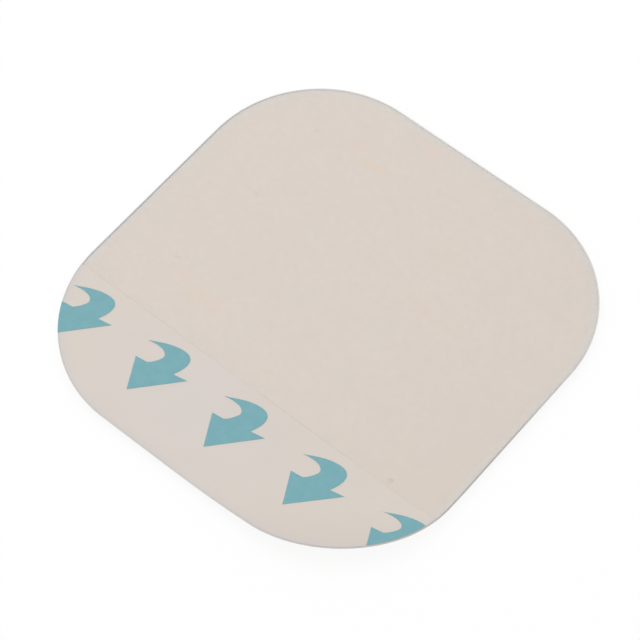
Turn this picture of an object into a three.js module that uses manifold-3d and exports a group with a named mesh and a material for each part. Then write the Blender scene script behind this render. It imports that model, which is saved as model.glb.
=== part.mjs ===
// Blister plaster, lying with its release liner up. Millimetres, +Z up. The square's centre is
// x = y = 0, its flat middle rests on z = 0, and the printed pull strip runs along the -Y side.
// From the bottom: domed backing film, bevelled hydrocolloid pad, clear release liner, pull strip
// of that liner, five printed arrows. The corner between +X and -Y curls up on a cylinder.
import * as THREE from "three";
import { mergeVertices } from "three/addons/utils/BufferGeometryUtils.js";
import Module from "manifold-3d";

// Outline that all layers share
const side = 50;
const cornerRadius = 14.7;

// Layer thicknesses, from the bottom up
const filmThickness = 0.05;
const gelMiddle = 0.9;
const gelRim = 0.2;
const bevelWidth = 10;
const linerThickness = 0.1;
const stripThickness = 0.14;
const inkThickness = 0.02;

// Pull strip, and the slit that parts it from the rest of the liner
const stripWidth = 12.5;
const slitWidth = 0.3;

// Row of arrows on the strip: the outermost columns lie this far in from the sides, and the
// crests this far from the middle of the slit
const arrowCount = 5;
const arrowEndInset = 3.2;
const arrowSetback = 1.03;
const arrowHeight = 7.37;

// Curled corner: which way it lies from the centre, how deep the curl reaches in from the
// cut edge, and the radius of the cylinder that it follows
const curlHeading = THREE.MathUtils.degToRad(-55.3);
const curlDepth = 9.07;
const curlRadius = 24.1;

// Facets: steps round a corner, along a side, from rim to flat middle and along an ink curve,
// and how much closer together the rings lie at the rim than in even steps
const cornerSteps = 20;
const sideSteps = 12;
const bandSteps = 5;
const curveSteps = 8;
const cutterSteps = 30;
const rimCrowding = 0.45;
const sharpestCorner = 0.5;
const weldDistance = 1e-4;

// How far a cutter reaches past what it cuts
const cutterReach = 2;

// Heights of the faces between the layers
const half = side / 2;
const padTop = filmThickness + gelMiddle;
const linerTop = padTop + linerThickness;
const stripTop = padTop + stripThickness;
const inkTop = stripTop + inkThickness;
const slitLine = -half + stripWidth;
const arrowPitch = (2 * (half - arrowEndInset)) / (arrowCount - 1);

// The curl turns each cross-section rigidly about a line above the face of the liner.
const curlX = Math.cos(curlHeading);
const curlY = Math.sin(curlHeading);
const cornerReach = (half - cornerRadius) * (Math.abs(curlX) + Math.abs(curlY)) + cornerRadius;
const curlStart = cornerReach - curlDepth;

function curled(x, y, z) {
  const along = x * curlX + y * curlY;
  if (along <= curlStart) {
    return [x, y, z];
  }
  const turn = (along - curlStart) / curlRadius;
  const lever = curlRadius - (z - linerTop);
  const shift = curlStart + lever * Math.sin(turn) - along;
  return [x + shift * curlX, y + shift * curlY, linerTop + curlRadius - lever * Math.cos(turn)];
}

// Thickness of the pad at a distance in from the cut edge: thin at the rim, rising on a
// parabola that meets the flat middle without a crease
function gelThickness(inset) {
  const share = Math.min(inset / bevelWidth, 1);
  return gelRim + (gelMiddle - gelRim) * (1 - (1 - share) ** 2);
}

// Rings of the shared triangulation, closer together toward the rim
const insets = [];
for (let band = 0; band <= bandSteps; band += 1) {
  const share = band / bandSteps;
  insets.push(bevelWidth * ((1 - rimCrowding) * share + rimCrowding * share ** 2));
}

// The rounded square at a distance in from the cut edge, anticlockwise seen from above
function ringAt(inset) {
  const radius = Math.max(cornerRadius - inset, sharpestCorner);
  const straight = half - inset - radius;
  const points = [];
  for (let corner = 0; corner < 4; corner += 1) {
    const first = (corner * Math.PI) / 2;
    const middle = first + Math.PI / 4;
    const cx = straight * Math.SQRT2 * Math.cos(middle);
    const cy = straight * Math.SQRT2 * Math.sin(middle);
    for (let step = 0; step <= cornerSteps; step += 1) {
      const angle = first + (step / cornerSteps) * (Math.PI / 2);
      points.push([cx + radius * Math.cos(angle), cy + radius * Math.sin(angle)]);
    }
    const last = first + Math.PI / 2;
    const [sx, sy] = points[points.length - 1];
    for (let step = 1; step < sideSteps; step += 1) {
      const run = (2 * straight * step) / sideSteps;
      points.push([sx - run * Math.sin(last), sy + run * Math.cos(last)]);
    }
  }
  return points;
}

// One closed layer between two heights, each given as a function of the inset. Every layer has
// the same triangles in plan, so a face and the one on it match facet for facet in the curl.
function layerGeometry(bottomAt, topAt) {
  const rings = insets.map(ringAt);
  const around = rings[0].length;
  const positions = [];
  for (const heightAt of [bottomAt, topAt]) {
    rings.forEach((ring, band) => {
      const z = heightAt(insets[band]);
      ring.forEach(([x, y]) => positions.push(...curled(x, y, z)));
    });
    positions.push(0, 0, heightAt(half));
  }
  const perFace = rings.length * around + 1;
  const index = [];
  const triangle = (a, b, c, face) => {
    const base = face * perFace;
    if (face === 1) {
      index.push(base + a, base + b, base + c);
    } else {
      index.push(base + a, base + c, base + b);
    }
  };
  for (const face of [0, 1]) {
    for (let i = 0; i < around; i += 1) {
      const j = (i + 1) % around;
      for (let band = 0; band + 1 < rings.length; band += 1) {
        const outer = band * around;
        const inner = outer + around;
        triangle(outer + i, outer + j, inner + j, face);
        triangle(outer + i, inner + j, inner + i, face);
      }
      const last = (rings.length - 1) * around;
      triangle(last + i, last + j, perFace - 1, face);
    }
  }
  for (let i = 0; i < around; i += 1) {
    const j = (i + 1) % around;
    index.push(i, j, perFace + j);
    index.push(i, perFace + j, perFace + i);
  }
  const geometry = new THREE.BufferGeometry();
  geometry.setAttribute("position", new THREE.Float32BufferAttribute(positions, 3));
  geometry.setIndex(index);
  return geometry;
}

// Bends a cutter with the same curl as the layers
function curlGeometry(geometry) {
  const position = geometry.getAttribute("position");
  for (let i = 0; i < position.count; i += 1) {
    position.setXYZ(i, ...curled(position.getX(i), position.getY(i), position.getZ(i)));
  }
  return geometry;
}

// Block that reaches clear of the layers above, below and beside them, between two y values
function bandCutter(fromY, toY) {
  const width = side + 2 * cutterReach;
  const height = 2 * cutterReach;
  const block = new THREE.BoxGeometry(width, toY - fromY, height, cutterSteps, cutterSteps, 1);
  block.translate(0, (fromY + toY) / 2, linerTop);
  return curlGeometry(block);
}

// Arrow outline in shares of its height, x from its column and y down from its crest: a tail
// that starts thin, swings over the crest and turns down into a broad head
function arrowShape() {
  const at = (x, y) => [x * arrowHeight, y * arrowHeight];
  const shape = new THREE.Shape();
  shape.moveTo(...at(-0.251, -0.194));
  shape.bezierCurveTo(...at(-0.134, -0.145), ...at(0.076, 0), ...at(0.311, 0));
  shape.bezierCurveTo(...at(0.517, 0), ...at(0.517, -0.185), ...at(0.417, -0.392));
  shape.lineTo(...at(0.649, -0.347));
  shape.lineTo(...at(0.056, -1));
  shape.lineTo(...at(-0.21, -0.505));
  shape.lineTo(...at(-0.02, -0.48));
  shape.bezierCurveTo(...at(0.054, -0.437), ...at(0.121, -0.3), ...at(0.121, -0.275));
  shape.bezierCurveTo(...at(0.121, -0.187), ...at(0.003, -0.134), ...at(-0.251, -0.194));
  return shape;
}

function arrowCutter(column) {
  const options = { depth: 2 * cutterReach, bevelEnabled: false, curveSegments: curveSteps };
  const prism = new THREE.ExtrudeGeometry(arrowShape(), options);
  const x = (column - (arrowCount - 1) / 2) * arrowPitch;
  prism.translate(x, slitLine - arrowSetback, stripTop - cutterReach);
  return curlGeometry(prism);
}

const wasm = await Module();
wasm.setup();

function toSolid(geometry) {
  geometry.deleteAttribute("normal");
  geometry.deleteAttribute("uv");
  const merged = mergeVertices(geometry, weldDistance);
  const mesh = new wasm.Mesh({
    numProp: 3,
    vertProperties: merged.getAttribute("position").array,
    triVerts: new Uint32Array(merged.index.array),
  });
  return new wasm.Manifold(mesh);
}

// Part of a layer that lies inside a cutter
function cutFrom(layer, cutter) {
  const made = toSolid(layer).intersect(toSolid(cutter)).getMesh();
  const geometry = new THREE.BufferGeometry();
  const position = new THREE.BufferAttribute(new Float32Array(made.vertProperties), 3);
  geometry.setAttribute("position", position);
  geometry.setIndex(new THREE.BufferAttribute(new Uint32Array(made.triVerts), 1));
  return geometry;
}

const plaster = new THREE.Group();
plaster.name = "blister_plaster";

function addNode(name, geometry, look) {
  const flat = geometry.toNonIndexed();
  flat.computeVertexNormals();
  const mesh = new THREE.Mesh(flat, new THREE.MeshStandardMaterial(look));
  mesh.name = name;
  plaster.add(mesh);
}

const gelUnder = (inset) => padTop - gelThickness(inset);
const filmUnder = (inset) => gelUnder(inset) - filmThickness;
const level = (z) => () => z;

addNode("backing_film", layerGeometry(filmUnder, gelUnder), {
  color: 0xe0d2c6,
  roughness: 0.55,
});

addNode("hydrocolloid_pad", layerGeometry(gelUnder, level(padTop)), {
  color: 0xdbd1c8,
  roughness: 0.6,
});

const linerCutter = bandCutter(slitLine + slitWidth / 2, half + cutterReach);
addNode("release_liner", cutFrom(layerGeometry(level(padTop), level(linerTop)), linerCutter), {
  color: 0xf4f2ee,
  roughness: 0.25,
  transparent: true,
  opacity: 0.35,
});

const stripCutter = bandCutter(-half - cutterReach, slitLine - slitWidth / 2);
addNode("peel_strip", cutFrom(layerGeometry(level(padTop), level(stripTop)), stripCutter), {
  color: 0xe9e6e4,
  roughness: 0.35,
  transparent: true,
  opacity: 0.5,
});

for (let column = 0; column < arrowCount; column += 1) {
  const inkLayer = layerGeometry(level(stripTop), level(inkTop));
  addNode(`printed_arrow_${column + 1}`, cutFrom(inkLayer, arrowCutter(column)), {
    color: 0x80afb7,
    roughness: 0.5,
  });
}

export default plaster;
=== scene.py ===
"""Looks of a square blister plaster that lies with its clear release liner up.

Lengths in the classes are millimetres in the part's own frame, and meshes are written in metres.
Each layer is drawn flat in plan, meshed with a rolled cut edge, and then bent by the same curl.
"""

import logging
import math
from collections.abc import Callable
from dataclasses import dataclass, field
from enum import Enum

import bpy
import numpy as np
from mathutils import Matrix, Vector
from mathutils.geometry import delaunay_2d_cdt


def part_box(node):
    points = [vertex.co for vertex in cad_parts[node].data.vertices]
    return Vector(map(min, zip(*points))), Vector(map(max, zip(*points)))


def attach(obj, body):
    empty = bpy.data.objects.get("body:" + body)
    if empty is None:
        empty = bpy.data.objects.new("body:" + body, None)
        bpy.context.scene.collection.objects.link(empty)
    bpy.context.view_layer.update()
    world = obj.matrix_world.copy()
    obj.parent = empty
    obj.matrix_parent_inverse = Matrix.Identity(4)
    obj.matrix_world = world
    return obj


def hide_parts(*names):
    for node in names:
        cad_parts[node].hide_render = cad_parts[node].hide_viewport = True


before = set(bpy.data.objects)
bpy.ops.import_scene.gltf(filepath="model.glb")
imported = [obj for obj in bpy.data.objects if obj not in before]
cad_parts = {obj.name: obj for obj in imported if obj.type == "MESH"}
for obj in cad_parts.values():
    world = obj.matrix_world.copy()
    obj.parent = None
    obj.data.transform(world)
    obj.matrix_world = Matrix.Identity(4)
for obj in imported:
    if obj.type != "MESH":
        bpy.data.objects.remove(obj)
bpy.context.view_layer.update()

logging.basicConfig(level=logging.INFO, format="%(name)s: %(message)s")
log = logging.getLogger("blister_plaster")

Height = Callable[[np.ndarray], np.ndarray]
Colour = tuple[float, float, float]
Screen = tuple[float, float, float]

MILLIMETRE = 0.001
PLAN_ATTRIBUTE = "flat_plan"
LONGEST_MITRE = 4.0


def linear(screen: Screen) -> Colour:
    """Turns a screen colour into the linear one that shaders take.

    Args:
        screen: Red, green and blue from 0 to 255.

    Returns:
        The same colour in linear light, from 0 to 1.
    """
    shares = (value / 255 for value in screen)
    return tuple(
        share / 12.92 if share <= 0.04045 else ((share + 0.055) / 1.055) ** 2.4
        for share in shares
    )


def heading(degrees: float) -> Colour:
    """The unit vector of a heading in plan, anticlockwise from +X."""
    return (math.cos(math.radians(degrees)), math.sin(math.radians(degrees)), 0.0)


def inset_loop(loop: np.ndarray, distance: float) -> np.ndarray:
    """Moves a closed anticlockwise loop inward, with mitred corners.

    Args:
        loop: Plan points, one row each.
        distance: How far each edge moves in.

    Returns:
        As many points as the loop has.
    """
    ahead = np.roll(loop, -1, axis=0) - loop
    ahead /= np.linalg.norm(ahead, axis=1)[:, None]
    behind = np.roll(ahead, 1, axis=0)
    normal_ahead = np.c_[-ahead[:, 1], ahead[:, 0]]
    normal_behind = np.c_[-behind[:, 1], behind[:, 0]]
    shared = 1 + (normal_ahead * normal_behind).sum(axis=1)
    mitre = (normal_ahead + normal_behind) / shared[:, None]
    reach = np.linalg.norm(mitre, axis=1)[:, None]
    return loop + mitre * np.minimum(1.0, LONGEST_MITRE / reach) * distance


def clip_loop(loop: np.ndarray, through: np.ndarray, inward: np.ndarray) -> np.ndarray:
    """Cuts a loop along a straight line.

    Args:
        loop: Plan points, one row each.
        through: A point on the line.
        inward: Direction square to the line, toward the side that is kept.

    Returns:
        The part of the loop on the kept side.
    """
    kept = []
    depths = (loop - through) @ inward
    for here, there, depth, next_depth in zip(
        loop, np.roll(loop, -1, axis=0), depths, np.roll(depths, -1)
    ):
        if depth >= 0:
            kept.append(here)
        if (depth < 0) != (next_depth < 0):
            kept.append(here + (there - here) * depth / (depth - next_depth))
    return np.array(kept)


def tidy_loop(loop: np.ndarray, shortest: float) -> np.ndarray:
    """Drops the flatter end of each edge that is shorter than `shortest`.

    Args:
        loop: Plan points, one row each.
        shortest: The shortest edge that may stay.

    Returns:
        The loop without its shortest edges.
    """
    while True:
        ahead = np.roll(loop, -1, axis=0) - loop
        length = np.linalg.norm(ahead, axis=1)
        first = int(length.argmin())
        if length[first] >= shortest:
            return loop
        way = ahead / np.maximum(length, 1e-12)[:, None]
        straightness = (np.roll(way, 1, axis=0) * way).sum(axis=1)
        here, there = straightness[first], straightness[(first + 1) % len(loop)]
        dropped = first if here > there else (first + 1) % len(loop)
        loop = np.delete(loop, dropped, axis=0)


def refine_loop(loop: np.ndarray, longest: float) -> np.ndarray:
    """Divides the edges of a loop that are longer than `longest`."""
    points = []
    for here, there in zip(loop, np.roll(loop, -1, axis=0)):
        pieces = max(1, math.ceil(np.linalg.norm(there - here) / longest))
        points.extend(here + (there - here) * k / pieces for k in range(pieces))
    return np.array(points)


@dataclass(frozen=True)
class CutOutline:
    """The rounded square that the die cuts through all layers at once."""

    side: float = 50.0
    corner_radius: float = 14.7
    corner_steps: int = 56
    longest_edge: float = 0.8

    @property
    def half(self) -> float:
        """Half the side."""
        return self.side / 2

    @property
    def straight(self) -> float:
        """Distance from the middle to where a corner's arc begins."""
        return self.half - self.corner_radius

    def inset(self, plan: np.ndarray) -> np.ndarray:
        """Distance in from the cut edge.

        Args:
            plan: Plan points, one row each.

        Returns:
            One distance for each point, below zero outside the outline.
        """
        beyond = np.abs(plan) - self.straight
        outside = np.linalg.norm(np.maximum(beyond, 0.0), axis=1)
        within = np.minimum(beyond.max(axis=1), 0.0)
        return self.corner_radius - outside - within

    def loop(self) -> np.ndarray:
        """The cut edge as a closed anticlockwise loop of plan points."""
        points = []
        for corner in range(4):
            first = corner * math.pi / 2
            middle = first + math.pi / 4
            centre = self.straight * math.sqrt(2) * np.array([math.cos(middle), math.sin(middle)])
            for step in range(self.corner_steps + 1):
                angle = first + step / self.corner_steps * math.pi / 2
                reach = self.corner_radius * np.array([math.cos(angle), math.sin(angle)])
                points.append(centre + reach)
        return refine_loop(np.array(points), self.longest_edge)

    def clip(self, loop: np.ndarray) -> np.ndarray:
        """The part of another loop that lies inside the cut edge."""
        edge = self.loop()
        for here, there in zip(edge, np.roll(edge, -1, axis=0)):
            ahead = there - here
            loop = clip_loop(loop, here, np.array([-ahead[1], ahead[0]]))
        return loop


@dataclass(frozen=True)
class Curl:
    """The corner that lifts off the table: a bend on a cylinder above the liner's face."""

    heading_deg: float = -55.3
    depth: float = 9.07
    radius: float = 24.1
    face_height: float = 1.05

    def bend(self, outline: CutOutline, points: np.ndarray) -> np.ndarray:
        """Bends points of the flat plaster.

        Args:
            outline: The cut edge, which says where the corner ends.
            points: Flat points, one row of x, y and z each.

        Returns:
            The same points as they lie in the curl.
        """
        toward = np.array(heading(self.heading_deg)[:2])
        corner_reach = outline.straight * np.abs(toward).sum() + outline.corner_radius
        start = corner_reach - self.depth
        along = points[:, :2] @ toward
        turn = np.maximum(along - start, 0.0) / self.radius
        lever = self.radius - (points[:, 2] - self.face_height)
        bent_along = np.where(turn > 0, start + lever * np.sin(turn), along)
        bent = points.copy()
        bent[:, :2] += (bent_along - along)[:, None] * toward
        bent[:, 2] = np.where(
            turn > 0, self.face_height + self.radius - lever * np.cos(turn), points[:, 2]
        )
        return bent


@dataclass(frozen=True)
class LayerStack:
    """Heights of the layers, with the pad's bevel. The frame's boxes give the levels."""

    film_thickness: float = 0.02
    gel_rim: float = 0.04
    bevel_width: float = 10.0
    liner_top: float = 1.05
    bond_line: float = 0.006
    liner_thickness: float = 0.05
    strip_top: float = field(default_factory=lambda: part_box("printed_arrow_3")[0].z / MILLIMETRE)
    ink_top: float = field(default_factory=lambda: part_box("printed_arrow_3")[1].z / MILLIMETRE)

    @property
    def pad_top(self) -> float:
        """Height of the pad's upper face."""
        return self.liner_top - self.liner_thickness

    def gel_under(self, outline: CutOutline) -> Height:
        """Height of the pad's domed underside, thin at the rim and flat in the middle."""
        middle = self.pad_top - self.film_thickness

        def height(plan: np.ndarray) -> np.ndarray:
            share = np.clip(outline.inset(plan) / self.bevel_width, 0.0, 1.0)
            thickness = self.gel_rim + (middle - self.gel_rim) * (1 - (1 - share) ** 2)
            return self.pad_top - thickness

        return height


def level(height: float) -> Height:
    """A height that is the same all over the plan."""
    return lambda plan: np.full(len(plan), height)


@dataclass(frozen=True)
class RolledEdge:
    """How a layer's cut edge is rounded: by its radius, in a few steps."""

    radius: float
    steps: int = 3
    support: float = 2.5

    def rows(self) -> list[tuple[float, float]]:
        """Distance in from the edge and drop below the face, from the face to the wall."""
        rows = [(self.radius * self.support, 0.0)]
        for step in range(self.steps, -1, -1):
            angle = step / self.steps * math.pi / 2
            rows.append((self.radius * (1 - math.cos(angle)), self.radius * (1 - math.sin(angle))))
        return rows


@dataclass(frozen=True)
class LayerMesher:
    """Makes a closed mesh of a layer from its cut shape in plan."""

    outline: CutOutline
    curl: Curl

    def _inner_points(self, loop: np.ndarray, grain: float) -> np.ndarray:
        """A triangular grid of points inside a loop, clear of its edge.

        Args:
            loop: The loop that the points lie in.
            grain: Distance between the points.

        Returns:
            The plan points, one row each.
        """
        low, high = loop.min(axis=0), loop.max(axis=0)
        rise = grain * math.sqrt(3) / 2
        rows = np.arange(low[1], high[1], rise)
        columns = np.arange(low[0], high[0], grain)
        grid = np.array([
            (x + (grain / 2 if row % 2 else 0.0), y) for row, y in enumerate(rows) for x in columns
        ])
        start, end = loop, np.roll(loop, -1, axis=0)
        edge = end - start
        offset = grid[:, None, :] - start[None, :, :]
        share = np.clip((offset * edge).sum(axis=2) / (edge ** 2).sum(axis=1), 0.0, 1.0)
        gap = np.linalg.norm(offset - share[:, :, None] * edge, axis=2).min(axis=1)
        over = (start[:, 1] > grid[:, 1:2]) != (end[:, 1] > grid[:, 1:2])
        with np.errstate(divide="ignore", invalid="ignore"):
            crossing = start[:, 0] + (grid[:, 1:2] - start[:, 1]) * edge[:, 0] / edge[:, 1]
        inside = (over & (grid[:, 0:1] < crossing)).sum(axis=1) % 2 == 1
        return grid[inside & (gap > grain * 0.45)]

    def _cap(self, loop: np.ndarray, grain: float) -> tuple[np.ndarray, list[list[int]]]:
        """Triangulates the inside of a loop.

        Args:
            loop: The cap's edge.
            grain: Distance between the points inside it.

        Returns:
            The inner points, and anticlockwise triangles that count the loop's points first.
        """
        inner = self._inner_points(loop, grain)
        points = [Vector(point) for point in (*loop, *inner)]
        made = delaunay_2d_cdt(points, [], [list(range(len(loop)))], 1, 1e-7)
        coords, faces, origins = made[0], made[2], made[3]
        number = [origin[0] if origin else -1 for origin in origins]
        if -1 in number or len(coords) != len(points):
            raise ValueError("the cap's triangulation added or merged points")
        triangles = []
        for face in faces:
            a, b, c = (coords[k] for k in face)
            turn = (b - a).cross(c - a)
            corners = [number[k] for k in face]
            triangles.append(corners if turn > 0 else corners[::-1])
        return inner, triangles

    def build(
        self,
        name: str,
        loop: np.ndarray,
        bottom: Height,
        top: Height,
        edge: RolledEdge,
        grain: float,
    ) -> bpy.types.Object:
        """Builds one layer as a closed mesh, bent by the curl.

        Args:
            name: The new object's name.
            loop: The layer's cut shape, anticlockwise.
            bottom: Height of the lower face.
            top: Height of the upper face.
            edge: How the cut edge is rounded.
            grain: Distance between mesh points on the faces.

        Returns:
            The object, linked to the scene.
        """
        drops = edge.rows()
        rings = []
        for inset, drop in drops:
            ring = inset_loop(loop, inset)
            rings.append(np.c_[ring, top(ring) - drop])
        for inset, drop in reversed(drops):
            ring = inset_loop(loop, inset)
            rings.append(np.c_[ring, bottom(ring) + drop])
        around = len(loop)
        inner, triangles = self._cap(rings[0][:, :2], grain)
        first_inner = around * len(rings)
        flat = np.concatenate([*rings, np.c_[inner, top(inner)], np.c_[inner, bottom(inner)]])

        faces = []
        last_ring = around * (len(rings) - 1)
        for ring in range(len(rings) - 1):
            base = ring * around
            for i in range(around):
                j = (i + 1) % around
                faces.append((base + i, base + around + i, base + around + j, base + j))
        for corners in triangles:
            faces.append([k if k < around else first_inner + k - around for k in corners])
            lower = first_inner + len(inner)
            faces.append([
                last_ring + k if k < around else lower + k - around for k in reversed(corners)
            ])

        mesh = bpy.data.meshes.new(name)
        mesh.from_pydata((self.curl.bend(self.outline, flat) * MILLIMETRE).tolist(), [], faces)
        plan = mesh.attributes.new(PLAN_ATTRIBUTE, "FLOAT_VECTOR", "POINT")
        plan.data.foreach_set("vector", flat.astype(np.float32).ravel())
        mesh.validate()
        mesh.shade_smooth()
        layer = bpy.data.objects.new(name, mesh)
        bpy.context.scene.collection.objects.link(layer)
        return layer


class Grain(Enum):
    """Scales of pattern on the plaster, as features for each millimetre."""

    CLOUD = 0.07
    BLOTCH = 0.28
    MOTTLE = 1.3
    PORE = 5.5


class ShaderSheet:
    """A material's nodes, with short methods for what the finishes share."""

    def __init__(self, name: str) -> None:
        """Makes an empty material with a Principled shader.

        Args:
            name: The material's name.
        """
        self.material = bpy.data.materials.new(name)
        self.material.use_nodes = True
        self.tree = self.material.node_tree
        self.shader = self.tree.nodes["Principled BSDF"]
        attribute = self._node("ShaderNodeAttribute")
        attribute.attribute_name = PLAN_ATTRIBUTE
        self.plan = attribute.outputs["Vector"]

    def _node(self, kind: str, **settings: object) -> bpy.types.ShaderNode:
        """Adds a node of a kind, with its settings."""
        node = self.tree.nodes.new(kind)
        for key, value in settings.items():
            setattr(node, key, value)
        return node

    def _feed(self, socket: bpy.types.NodeSocket, value: object) -> None:
        """Links a socket to another one, or sets its value."""
        if isinstance(value, bpy.types.NodeSocket):
            self.tree.links.new(value, socket)
        elif socket.type == "RGBA":
            socket.default_value = (*value, 1.0)
        else:
            socket.default_value = value

    def math(self, operation: str, first: object, second: object = 0.0) -> bpy.types.NodeSocket:
        """One step of arithmetic on two numbers.

        Args:
            operation: The Math node's operation.
            first: A socket or a number.
            second: A socket or a number.

        Returns:
            The result's socket.
        """
        node = self._node("ShaderNodeMath", operation=operation)
        self._feed(node.inputs[0], first)
        self._feed(node.inputs[1], second)
        return node.outputs[0]

    def vector(self, operation: str, first: object, second: object = None) -> bpy.types.ShaderNode:
        """One step of arithmetic on two vectors.

        Args:
            operation: The Vector Math node's operation.
            first: A socket or three numbers.
            second: A socket or three numbers, where the operation takes it.

        Returns:
            The node, whose result is its Vector or Value socket.
        """
        node = self._node("ShaderNodeVectorMath", operation=operation)
        self._feed(node.inputs[0], first)
        if second is not None:
            self._feed(node.inputs[1], second)
        return node

    def remap(
        self, value: object, start: float, end: float, low: float = 0.0, high: float = 1.0
    ) -> bpy.types.NodeSocket:
        """Maps a number smoothly from one range onto another, held at both ends."""
        node = self._node("ShaderNodeMapRange", interpolation_type="SMOOTHSTEP")
        for key, number in (
            ("Value", value),
            ("From Min", start),
            ("From Max", end),
            ("To Min", low),
            ("To Max", high),
        ):
            self._feed(node.inputs[key], number)
        return node.outputs[0]

    def blend(self, share: object, first: object, second: object) -> bpy.types.NodeSocket:
        """Mixes two colours.

        Args:
            share: Share of the second colour.
            first: A socket or a linear colour.
            second: A socket or a linear colour.

        Returns:
            The mixed colour's socket.
        """
        node = self._node("ShaderNodeMix", data_type="RGBA")
        self._feed(node.inputs["Factor"], share)
        self._feed(node.inputs[6], first)
        self._feed(node.inputs[7], second)
        return node.outputs[2]

    def noise(self, grain: Grain, detail: float = 3.0, shift: float = 0.0) -> bpy.types.NodeSocket:
        """Cloudy noise on the flat plan, about 0.5 on average.

        Args:
            grain: Size of its features.
            detail: How many finer octaves it has.
            shift: Moves the pattern, so that two uses differ.

        Returns:
            The noise's socket.
        """
        moved = self.vector("ADD", self.plan, (shift, -shift, 0.0)).outputs[0]
        node = self._node("ShaderNodeTexNoise")
        self._feed(node.inputs["Vector"], moved)
        node.inputs["Scale"].default_value = grain.value
        node.inputs["Detail"].default_value = detail
        return node.outputs["Fac"]

    def inset(self, outline: CutOutline) -> bpy.types.NodeSocket:
        """Distance in from the cut edge, in millimetres.

        Args:
            outline: The cut edge.

        Returns:
            The distance's socket.
        """
        flat = self.vector("MULTIPLY", self.plan, (1.0, 1.0, 0.0)).outputs[0]
        size = self.vector("ABSOLUTE", flat).outputs[0]
        straight = (outline.straight, outline.straight, 0.0)
        beyond = self.vector("SUBTRACT", size, straight).outputs[0]
        outside = self.vector("MAXIMUM", beyond, (0.0, 0.0, 0.0)).outputs[0]
        reach = self.vector("LENGTH", outside).outputs["Value"]
        split = self._node("ShaderNodeSeparateXYZ")
        self._feed(split.inputs[0], beyond)
        widest = self.math("MAXIMUM", split.outputs[0], split.outputs[1])
        within = self.math("MINIMUM", widest, 0.0)
        return self.math("SUBTRACT", self.math("SUBTRACT", outline.corner_radius, reach), within)

    def lengthwise(self, heading_deg: float) -> bpy.types.NodeSocket:
        """How well the way from the middle to a place lies along a heading, from 0 to 1."""
        flat = self.vector("MULTIPLY", self.plan, (1.0, 1.0, 0.0)).outputs[0]
        way = self.vector("NORMALIZE", flat).outputs[0]
        share = self.vector("DOT_PRODUCT", way, heading(heading_deg)).outputs["Value"]
        return self.math("MULTIPLY", share, share)

    def along(self, heading_deg: float) -> bpy.types.NodeSocket:
        """Distance from the middle along a heading on the flat plan, in millimetres."""
        return self.vector("DOT_PRODUCT", self.plan, heading(heading_deg)).outputs["Value"]

    def ragged_plan(self, reach: float) -> bpy.types.NodeSocket:
        """The flat plan with its places shifted about by noise.

        Args:
            reach: About how far they shift, in millimetres.

        Returns:
            The vector's socket.
        """
        node = self._node("ShaderNodeTexNoise")
        self._feed(node.inputs["Vector"], self.plan)
        node.inputs["Scale"].default_value = Grain.MOTTLE.value
        node.inputs["Detail"].default_value = 4.0
        shift = self.vector("SUBTRACT", node.outputs["Color"], (0.5, 0.5, 0.5)).outputs[0]
        scaled = self.vector("MULTIPLY", shift, (reach * 4, reach * 4, 0.0)).outputs[0]
        return self.vector("ADD", self.plan, scaled).outputs[0]

    def distance(
        self, plan: bpy.types.NodeSocket, x: float, y: float, flatness: float = 1.0
    ) -> bpy.types.NodeSocket:
        """Distance from a point of the plan, in millimetres.

        Args:
            plan: The plan, plain or ragged.
            x: The point's x.
            y: The point's y.
            flatness: Height of a spot of equal distance, as a share of its length in x.

        Returns:
            The distance's socket.
        """
        offset = self.vector("SUBTRACT", plan, (x, y, 0.0)).outputs[0]
        scaled = self.vector("MULTIPLY", offset, (1.0, 1.0 / flatness, 0.0)).outputs[0]
        return self.vector("LENGTH", scaled).outputs["Value"]

    def bump(self, height: bpy.types.NodeSocket, depth: float, strength: float) -> None:
        """Gives the shader a relief.

        Args:
            height: The relief's shape, from 0 to 1.
            depth: Its depth in millimetres.
            strength: Share of it that is applied.
        """
        node = self._node("ShaderNodeBump")
        node.inputs["Strength"].default_value = strength
        node.inputs["Distance"].default_value = depth * MILLIMETRE
        self._feed(node.inputs["Height"], height)
        self._feed(self.shader.inputs["Normal"], node.outputs[0])

    def set(self, **values: object) -> None:
        """Sets the shader's sockets, each named with _ for a space."""
        for key, value in values.items():
            self._feed(self.shader.inputs[key.replace("_", " ")], value)


@dataclass(frozen=True)
class Fleck:
    """A faint warm spot or a speck in the gel, at its place on the flat plan."""

    x: float
    y: float
    reach: float
    strength: float
    tint: Screen
    flatness: float = 0.6


AMBER: Screen = (219, 202, 182)
BLUSH: Screen = (222, 200, 193)
SPECK: Screen = (166, 138, 130)
DUST: Screen = (192, 182, 174)


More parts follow.
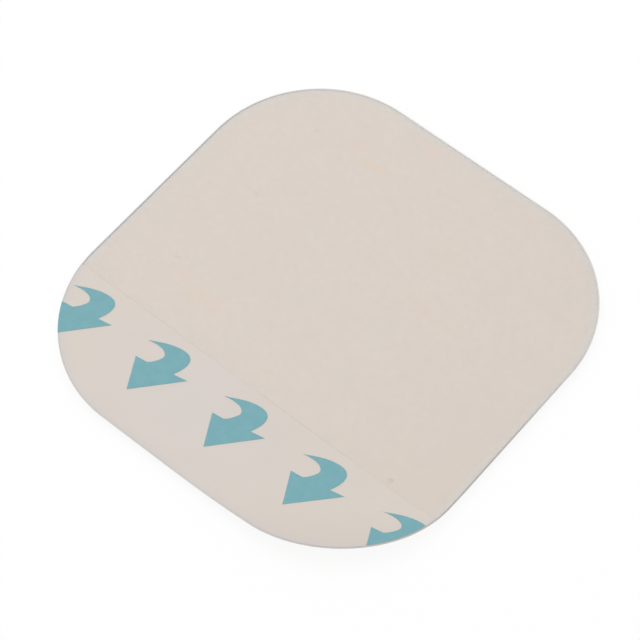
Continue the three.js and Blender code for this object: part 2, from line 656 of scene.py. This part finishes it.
@dataclass(frozen=True)
class GelFinish:
    """Pale beige hydrocolloid: slightly translucent, mottled, greyer where it thins, with painted
    shade toward the lifted corner.
    """

    outline: CutOutline
    body: Screen = (216, 205.7, 196.5)
    thin_rim: Screen = (216, 208, 202)
    painted_corner_shade: Screen = (213.2, 202, 190.8)
    painted_shade_heading_deg: float = -42.0
    rim_width: float = 1.3
    mottling: float = 0.02
    clouding: float = 0.012
    flecks: tuple[Fleck, ...] = (
        Fleck(-10.8, 18.3, 1.5, 0.6, BLUSH),
        Fleck(-8.5, 17.4, 1.6, 0.8, AMBER),
        Fleck(-7.0, 17.7, 1.3, 0.7, AMBER),
        Fleck(-4.3, 23.1, 1.2, 0.7, BLUSH),
        Fleck(-15.2, -6.5, 1.3, 0.7, BLUSH),
        Fleck(-12.3, -7.2, 2.6, 0.6, AMBER),
        Fleck(-9.9, -7.1, 1.7, 0.6, BLUSH),
        Fleck(7.9, 6.6, 1.2, 0.6, BLUSH),
        Fleck(6.4, 7.0, 2.6, 0.35, AMBER, 0.35),
        Fleck(11.8, 6.2, 2.4, 0.3, AMBER, 0.3),
        Fleck(5.5, 13.0, 4.5, 0.12, AMBER),
        Fleck(-0.2, -10.3, 1.6, 0.25, AMBER),
        Fleck(-16.2, 6.5, 2.1, 0.35, DUST, 0.06),
        Fleck(18.15, -11.5, 0.5, 0.3, SPECK, 0.9),
        Fleck(-17.2, -5.1, 0.4, 0.45, DUST, 0.8),
        Fleck(0.3, 4.5, 0.3, 0.35, DUST, 0.8),
        Fleck(-10.7, -3.2, 0.3, 0.35, DUST, 0.8),
        Fleck(-16.2, 17.2, 0.3, 0.35, DUST, 0.8),
    )

    def material(self) -> bpy.types.Material:
        """The gel's material."""
        sheet = ShaderSheet("hydrocolloid_gel")
        inset = sheet.inset(self.outline)
        darker = tuple(value * (1 - self.mottling) for value in linear(self.body))
        lighter = tuple(value * (1 + self.mottling) for value in linear(self.body))
        mottle = sheet.remap(sheet.noise(Grain.MOTTLE, 5.0), 0.25, 0.75)
        colour = sheet.blend(mottle, darker, lighter)
        # Painted shade: the gel's colour darkens toward the lifted corner at the lower right.
        corner_shade_share = sheet.remap(sheet.along(self.painted_shade_heading_deg), 8.0, 36.0)
        colour = sheet.blend(corner_shade_share, colour, linear(self.painted_corner_shade))
        cloud = sheet.remap(sheet.noise(Grain.BLOTCH, 4.0, 43.0), 0.3, 0.7)
        shade = tuple(value * (1 - self.clouding * 2) for value in linear(self.body))
        colour = sheet.blend(sheet.math("MULTIPLY", cloud, 0.5), colour, shade)
        ragged = sheet.ragged_plan(0.25)
        for fleck in self.flecks:
            away = sheet.distance(ragged, fleck.x, fleck.y, fleck.flatness)
            share = sheet.remap(away, 0.0, fleck.reach, fleck.strength, 0.0)
            colour = sheet.blend(share, colour, linear(fleck.tint))
        thin = sheet.remap(inset, 0.0, self.rim_width, 1.0, 0.0)
        colour = sheet.blend(thin, colour, linear(self.thin_rim))
        sheet.set(Base_Color=colour, Roughness=0.38, Subsurface_Weight=0.25)
        sheet.set(Subsurface_Radius=(1.0, 0.65, 0.45), Subsurface_Scale=0.6 * MILLIMETRE)
        sheet.bump(sheet.noise(Grain.PORE, 4.0), 0.02, 0.4)
        return sheet.material


@dataclass(frozen=True)
class FilmFinish:
    """Thin polyurethane film on the plaster's outside: satin, beige from the gel behind it."""

    outline: CutOutline
    body: Screen = (216, 203, 191)
    rim: Screen = (205, 199, 193)

    def material(self) -> bpy.types.Material:
        """The film's material."""
        sheet = ShaderSheet("polyurethane_film")
        rim = sheet.remap(sheet.inset(self.outline), 0.1, 2.0, 1.0, 0.0)
        cloud = sheet.remap(sheet.noise(Grain.BLOTCH, 3.0), 0.3, 0.7, 0.0, 0.12)
        colour = sheet.blend(cloud, linear(self.body), linear(AMBER))
        colour = sheet.blend(rim, colour, linear(self.rim))
        gloss = sheet.remap(sheet.noise(Grain.CLOUD, 2.0), 0.3, 0.7, 0.38, 0.5)
        sheet.set(Base_Color=colour, Roughness=gloss)
        sheet.bump(sheet.noise(Grain.PORE, 3.0, 11.0), 0.015, 0.5)
        return sheet.material


@dataclass(frozen=True)
class LinerFinish:
    """Clear siliconised film: lets the gel show through, with a thin line of painted shade and
    painted highlight at its cut edge.
    """

    name: str
    outline: CutOutline
    haze: Screen
    veil: float
    # The edge line's colours are a painted highlight and a painted shade, and the headings below
    # set on which sides the painted shade falls.
    painted_edge_highlight: Screen = (232, 228, 224)
    painted_edge_shade: Screen = (172, 167, 162)
    side_shade_heading_deg: float = -12.0
    side_shade_share: float = 0.7
    shaded_heading_deg: float = -90.0
    shaded_share: float = 0.55
    edge_veil: float = 0.6
    edge_start: float = 0.1
    edge_end: float = 0.23
    thin_rim: Screen = (217, 209, 204)
    rim_width: float = 1.3
    cool_patch: Screen = (219, 212, 207)
    cool_share: float = 0.0

    def material(self) -> bpy.types.Material:
        """The liner's material."""
        sheet = ShaderSheet(self.name)
        inset = sheet.inset(self.outline)
        rim = sheet.remap(inset, 0.0, self.rim_width, 1.0, 0.0)
        patch = sheet.distance(sheet.ragged_plan(1.0), -4.0, -18.0, 0.6)
        cool = sheet.remap(patch, 2.0, 16.0, self.cool_share, 0.0)
        haze = sheet.blend(cool, linear(self.haze), linear(self.cool_patch))
        haze = sheet.blend(rim, haze, linear(self.thin_rim))
        # A thin line along the cut edge, coloured with painted shade and painted highlight.
        edge = sheet.remap(inset, self.edge_start, self.edge_end, 1.0, 0.0)
        # Painted shade on the two sides that lie along one heading, both ways.
        lengthwise = sheet.lengthwise(self.side_shade_heading_deg)
        edge_side_shade = sheet.math("MULTIPLY", lengthwise, lengthwise)
        edge_side_shade = sheet.math("MULTIPLY", edge_side_shade, self.side_shade_share)
        # More painted shade toward the -Y side.
        half = self.outline.half
        across = sheet.along(self.shaded_heading_deg)
        shaded = sheet.remap(across, -half, half, 0.0, self.shaded_share)
        # The painted shade is weaker right at the cut and full from 0.12 mm in.
        inner = sheet.remap(inset, 0.02, 0.12, 0.35, 1.0)
        dark = sheet.math("MULTIPLY", sheet.math("ADD", edge_side_shade, shaded), inner)
        # Where the painted shade is weak, the line is a painted highlight.
        cut = sheet.blend(dark, linear(self.painted_edge_highlight), linear(self.painted_edge_shade))
        line = sheet.math("MULTIPLY", edge, self.edge_veil)
        clear = sheet.math("MULTIPLY", sheet.math("SUBTRACT", 1.0, edge), self.veil)
        veil = sheet.math("ADD", clear, line)
        colour = sheet.blend(sheet.math("DIVIDE", line, veil), haze, cut)
        gloss = sheet.remap(sheet.noise(Grain.BLOTCH, 3.0, 7.0), 0.3, 0.7, 0.3, 0.38)
        sheet.set(Base_Color=colour, Alpha=veil, Roughness=gloss, IOR=1.5)
        sheet.bump(sheet.noise(Grain.BLOTCH, 2.0, 19.0), 0.02, 0.15)
        return sheet.material


@dataclass(frozen=True)
class InkFinish:
    """Flat blue-green printing ink, a little uneven in cover."""

    body: Screen = (114, 166, 175)
    thin: Screen = (119, 171, 178)

    def material(self) -> bpy.types.Material:
        """The ink's material."""
        sheet = ShaderSheet("arrow_ink")
        cover = sheet.remap(sheet.noise(Grain.MOTTLE, 5.0, 3.0), 0.35, 0.75)
        colour = sheet.blend(cover, linear(self.body), linear(self.thin))
        sheet.set(Base_Color=colour, Roughness=0.5, Specular_IOR_Level=0.3)
        sheet.bump(sheet.noise(Grain.PORE, 4.0, 5.0), 0.004, 0.4)
        return sheet.material


@dataclass(frozen=True)
class ArrowFigure:
    """One curved arrow, in shares of its height: x from its column, y down from its crest."""

    height: float = 7.37
    curve_steps: int = 22
    longest_edge: float = 0.4
    tail: tuple[float, float] = (-0.251, -0.194)
    outer_swing: tuple[tuple[float, float], ...] = ((-0.134, -0.145), (0.076, 0.0), (0.311, 0.0))
    outer_turn: tuple[tuple[float, float], ...] = ((0.517, 0.0), (0.517, -0.185), (0.417, -0.392))
    head: tuple[tuple[float, float], ...] = (
        (0.649, -0.347), (0.056, -1.0), (-0.21, -0.505), (-0.02, -0.48),
    )
    inner_turn: tuple[tuple[float, float], ...] = ((0.054, -0.437), (0.121, -0.3), (0.121, -0.275))
    inner_swing: tuple[tuple[float, float], ...] = (
        (0.121, -0.187), (0.003, -0.134), (-0.251, -0.194),
    )

    def _curve(self, start: tuple[float, float], handles: tuple[tuple[float, float], ...]) -> list:
        """Points of a cubic curve after its start, up to its end.

        Args:
            start: Where the curve begins.
            handles: Its two handles and its end.

        Returns:
            The points, in shares of the arrow's height.
        """
        corners = np.array([start, *handles])
        points = []
        for step in range(1, self.curve_steps + 1):
            t = step / self.curve_steps
            weights = np.array([(1 - t) ** 3, 3 * t * (1 - t) ** 2, 3 * t ** 2 * (1 - t), t ** 3])
            points.append(tuple(weights @ corners))
        return points

    def loop(self, column: float, crest: float) -> np.ndarray:
        """The arrow's outline as an anticlockwise loop.

        Args:
            column: Where the arrow stands along the strip.
            crest: How far back its highest point lies.

        Returns:
            Plan points, one row each.
        """
        clockwise = self._curve(self.tail, self.outer_swing)
        clockwise += self._curve(clockwise[-1], self.outer_turn)
        clockwise += self.head
        clockwise += self._curve(self.head[-1], self.inner_turn)
        clockwise += self._curve(clockwise[-1], self.inner_swing)
        placed = np.array(clockwise) * self.height + (column, crest)
        return refine_loop(placed[::-1], self.longest_edge)


class PlasterPart:
    """What every sub-assembly of the plaster shares: the cut edge, the curl and the layers."""

    def __init__(self, outline: CutOutline, curl: Curl, stack: LayerStack) -> None:
        """Keeps the shared shapes.

        Args:
            outline: The cut edge.
            curl: The lifted corner.
            stack: The layers' heights.
        """
        self.outline = outline
        self.stack = stack
        self.mesher = LayerMesher(outline, curl)

    def dress(
        self, piece: bpy.types.Object, material: bpy.types.Material, slot: str, node: str
    ) -> bpy.types.Object:
        """Gives a piece its material and its place in the frame.

        Args:
            piece: The new piece.
            material: Its finish.
            slot: The record's material slot. Not used.
            node: The solid that the piece stands for.

        Returns:
            The piece.
        """
        piece.data.materials.append(material)
        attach(piece, "root")
        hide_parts(node)
        log.info("%s: %d faces", piece.name, len(piece.data.polygons))
        return piece


    def declare_film(self, piece: bpy.types.Object, loop: np.ndarray, below: list[str]) -> None:
        """Takes a layer of film with the flat shape that it was cut to, and does nothing with it.

        Args:
            piece: The film's piece. Not used.
            loop: Its cut shape in plan. Not used.
            below: What it lies on. Not used.
        """


class BackingLayer(PlasterPart):
    """The film on the outside and the gel pad that it carries."""

    film_edge = RolledEdge(0.006, 2)
    film_setback = 0.08
    gel_edge = RolledEdge(0.02, 4)
    gel_setback = 0.09
    grain = 0.85

    def build(self) -> None:
        """Builds both layers."""
        stack = self.stack
        cut = self.outline.loop()
        under = stack.gel_under(self.outline)
        film_cut = inset_loop(cut, self.film_setback)
        film = self.mesher.build(
            "film_backing",
            film_cut,
            lambda plan: under(plan) - stack.film_thickness,
            lambda plan: under(plan) - stack.bond_line,
            self.film_edge,
            self.grain,
        )
        self.dress(film, FilmFinish(self.outline).material(), "backing_film", "backing_film")
        self.declare_film(film, film_cut, ["gel_pad"])
        pad = self.mesher.build(
            "gel_pad",
            inset_loop(cut, self.gel_setback),
            under,
            level(stack.pad_top - stack.bond_line),
            self.gel_edge,
            self.grain,
        )
        self.dress(pad, GelFinish(self.outline).material(), "hydrocolloid", "hydrocolloid_pad")


class SplitLiner(PlasterPart):
    """The clear liner in two pieces, parted by a slit: the large one and the pull strip."""

    strip_width = 12.62
    slit_width = 0.006
    liner_edge = RolledEdge(0.006, 2)
    strip_edge = RolledEdge(0.006, 2)
    grain = 1.0
    shortest_edge = 0.25

    @property
    def slit_line(self) -> float:
        """Where the middle of the slit lies."""
        return self.strip_width - self.outline.half

    def _half_cut(self, line: float, keep: float) -> np.ndarray:
        """The cut outline on one side of a line.

        Args:
            line: Where the line lies across the plaster.
            keep: 1 for the far side, -1 for the near side.

        Returns:
            The loop, with the new straight edge divided.
        """
        cut = clip_loop(self.outline.loop(), np.array([0.0, line]), np.array([0.0, keep]))
        return refine_loop(tidy_loop(cut, self.shortest_edge), self.outline.longest_edge)

    def build(self) -> None:
        """Builds both pieces of the liner."""
        stack = self.stack
        liner_cut = self._half_cut(self.slit_line + self.slit_width / 2, 1.0)
        liner = self.mesher.build(
            "liner_main",
            liner_cut,
            level(stack.pad_top),
            level(stack.liner_top),
            self.liner_edge,
            self.grain,
        )
        clear = LinerFinish("liner_film", self.outline, haze=(222, 214, 206), veil=0.05)
        self.dress(liner, clear.material(), "liner_film", "release_liner")
        self.declare_film(liner, liner_cut, ["gel_pad"])
        strip_cut = self._half_cut(self.slit_line - self.slit_width / 2, -1.0)
        strip = self.mesher.build(
            "liner_pull_strip",
            strip_cut,
            level(stack.pad_top),
            level(stack.strip_top - stack.bond_line),
            self.strip_edge,
            self.grain,
        )
        cool = LinerFinish(
            "strip_film",
            self.outline,
            haze=(222, 212, 203),
            veil=0.85,
            edge_veil=0.85,
            cool_share=0.5,
        )
        self.dress(strip, cool.material(), "strip_film", "peel_strip")
        self.declare_film(strip, strip_cut, ["gel_pad"])


class ArrowRow(PlasterPart):
    """The row of printed arrows on the pull strip, cut off by the outline at both ends.

    The last one stops `curled_margin` short of the cut edge, so that the painted shade line at the
    edge shows.
    """

    count = 5
    end_inset = 3.2
    curled_margin = 0.2
    crest_depth = 11.47
    edge = RolledEdge(0.003, 2, 1.6)
    grain = 0.4
    shortest_edge = 0.03

    def build(self) -> None:
        """Builds the arrows, each with its crest at the same depth from the strip's outer side."""
        figure = ArrowFigure()
        ink = InkFinish().material()
        reach = self.outline.half - self.end_inset
        margin = self.curled_margin
        short_cut = CutOutline(self.outline.side - 2 * margin, self.outline.corner_radius - margin)
        for number in range(self.count):
            column = reach * (2 * number / (self.count - 1) - 1)
            cut = short_cut if number == self.count - 1 else self.outline
            loop = cut.clip(figure.loop(column, self.crest_depth - self.outline.half))
            arrow = self.mesher.build(
                f"ink_arrow_{number + 1}",
                tidy_loop(loop, self.shortest_edge),
                level(self.stack.strip_top),
                level(self.stack.ink_top),
                self.edge,
                self.grain,
            )
            self.dress(arrow, ink, "arrow_ink", f"printed_arrow_{number + 1}")


@dataclass(frozen=True)
class Studio:
    """A white floor, soft light from all round and above, and the camera. In metres."""

    floor_size: float = 6.0
    floor_drop: float = 0.00002
    floor_colour: Screen = (252, 252, 252)
    floor_glow: float = 0.9
    sky: float = 0.67
    lamp_place: tuple[float, float, float] = (-0.1, 0.06, 0.32)
    lamp_size: float = 0.35
    lamp_watts: float = 0.55
    camera_place: tuple[float, float, float] = (0.10032, -0.10749, 0.25222)
    camera_azimuth: float = 43.404
    camera_elevation: float = 59.835
    camera_roll: float = -3.809
    camera_lens_mm: float = 151.875

    def _seen_directly(self, tree: bpy.types.NodeTree) -> bpy.types.NodeSocket:
        """A socket that is 1 for rays that show the floor or the sky itself."""
        path = tree.nodes.new("ShaderNodeLightPath")
        total = path.outputs["Is Camera Ray"]
        for kind in ("Is Glossy Ray", "Is Transmission Ray"):
            largest = tree.nodes.new("ShaderNodeMath")
            largest.operation = "MAXIMUM"
            tree.links.new(total, largest.inputs[0])
            tree.links.new(path.outputs[kind], largest.inputs[1])
            total = largest.outputs[0]
        return total

    def lay_floor(self) -> None:
        """A white floor that still takes the plaster's shadow."""
        half = self.floor_size / 2
        mesh = bpy.data.meshes.new("floor")
        corners = [(-half, -half), (half, -half), (half, half), (-half, half)]
        mesh.from_pydata([(x, y, -self.floor_drop) for x, y in corners], [], [(0, 1, 2, 3)])
        floor = bpy.data.objects.new("floor", mesh)
        bpy.context.scene.collection.objects.link(floor)
        material = bpy.data.materials.new("white_floor")
        material.use_nodes = True
        tree = material.node_tree
        tree.nodes.clear()
        matt = tree.nodes.new("ShaderNodeBsdfDiffuse")
        matt.inputs["Color"].default_value = (*linear(self.floor_colour), 1.0)
        glow = tree.nodes.new("ShaderNodeEmission")
        share = tree.nodes.new("ShaderNodeMath")
        share.operation = "MULTIPLY"
        share.inputs[1].default_value = self.floor_glow
        mix = tree.nodes.new("ShaderNodeMixShader")
        output = tree.nodes.new("ShaderNodeOutputMaterial")
        tree.links.new(self._seen_directly(tree), share.inputs[0])
        tree.links.new(share.outputs[0], mix.inputs[0])
        tree.links.new(matt.outputs[0], mix.inputs[1])
        tree.links.new(glow.outputs[0], mix.inputs[2])
        tree.links.new(mix.outputs[0], output.inputs["Surface"])
        mesh.materials.append(material)

    def light(self) -> None:
        """Even light from the sky, and one broad lamp above the far left corner."""
        world = bpy.data.worlds.new("studio")
        bpy.context.scene.world = world
        world.use_nodes = True
        tree = world.node_tree
        background = tree.nodes["Background"]
        background.inputs["Color"].default_value = (1.0, 1.0, 1.0, 1.0)
        strength = tree.nodes.new("ShaderNodeMapRange")
        strength.inputs["To Min"].default_value = self.sky
        strength.inputs["To Max"].default_value = 1.0
        tree.links.new(self._seen_directly(tree), strength.inputs["Value"])
        tree.links.new(strength.outputs[0], background.inputs["Strength"])
        data = bpy.data.lights.new("soft_box", "AREA")
        data.size = self.lamp_size
        data.energy = self.lamp_watts
        lamp = bpy.data.objects.new("soft_box", data)
        lamp.location = self.lamp_place
        lamp.rotation_euler = (-Vector(self.lamp_place)).to_track_quat("-Z", "Y").to_euler()
        bpy.context.scene.collection.objects.link(lamp)

    def place_camera(self) -> None:
        """The camera at the photograph's viewing angle."""
        data = bpy.data.cameras.new("camera")
        data.lens = self.camera_lens_mm
        data.clip_start = 0.01
        camera = bpy.data.objects.new("camera", data)
        azimuth, elevation, roll = (
            math.radians(angle)
            for angle in (self.camera_azimuth, self.camera_elevation, self.camera_roll)
        )
        turn = (
            Matrix.Rotation(azimuth, 4, "Z")
            @ Matrix.Rotation(math.pi / 2 - elevation, 4, "X")
            @ Matrix.Rotation(roll, 4, "Z")
        )
        camera.matrix_world = Matrix.Translation(self.camera_place) @ turn
        bpy.context.scene.collection.objects.link(camera)
        bpy.context.scene.camera = camera

    def set_up(self) -> None:
        """Builds the whole studio."""
        self.lay_floor()
        self.light()
        self.place_camera()
        bpy.context.scene.view_settings.view_transform = "Standard"


def main() -> None:
    """Builds the studio and the plaster, from the film up to the printed arrows."""
    Studio().set_up()
    shapes = (CutOutline(), Curl(), LayerStack())
    BackingLayer(*shapes).build()
    SplitLiner(*shapes).build()
    ArrowRow(*shapes).build()


if __name__ == "__main__":
    main()
